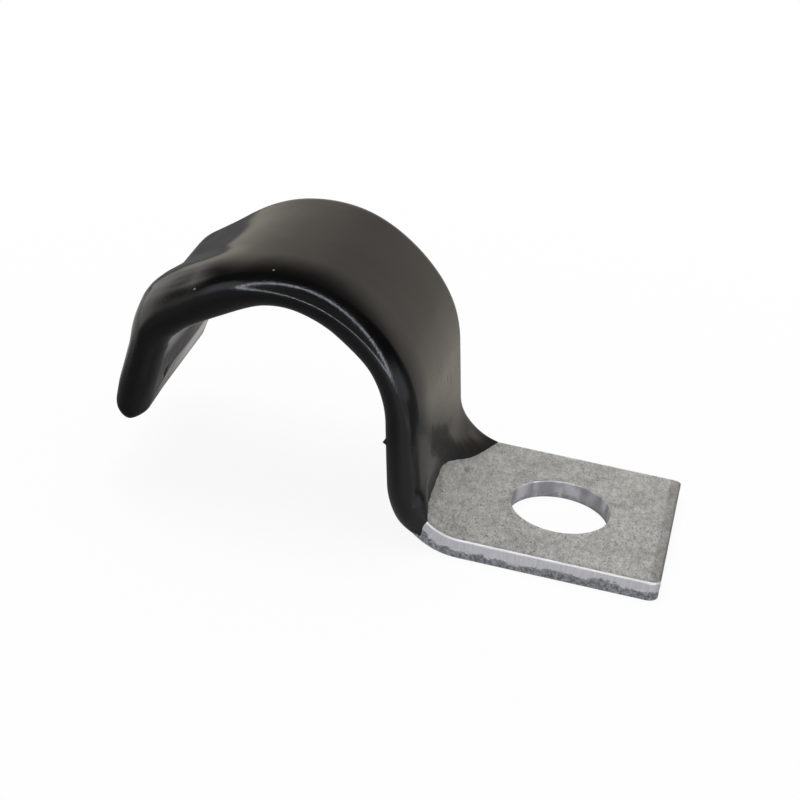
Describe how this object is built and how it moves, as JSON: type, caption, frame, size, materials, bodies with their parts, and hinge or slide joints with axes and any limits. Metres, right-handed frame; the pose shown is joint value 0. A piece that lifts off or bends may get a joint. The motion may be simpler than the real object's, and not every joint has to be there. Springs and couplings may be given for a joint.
{
  "type": "half pipe clamp",
  "caption": "Half clamp for a pipe: a steel strap bent into a rounded arch with a punched bolt tab, its arch and free leg dipped in black vinyl.",
  "frame": {"origin": "middle of the bolt hole on the underside of the tab, the face that is bolted down", "axes": "+Z away from the surface under the tab, +X along the tab to its free end, Y across the strap and along the pipe"},
  "size_m": [0.0665, 0.0274, 0.0304],
  "materials": {
    "zinc_plated_steel": "dull zinc grey with fine pitting, sheared edges half burnished and half torn",
    "black_vinyl": "dipped black vinyl, smooth and glossy, thicker at the rounded edges and at a dried drip on the shoulder"
  },
  "bodies": {
    "root": {"steel_strap": "zinc_plated_steel", "vinyl_coating": "black_vinyl"}
  },
  "joints": []
}
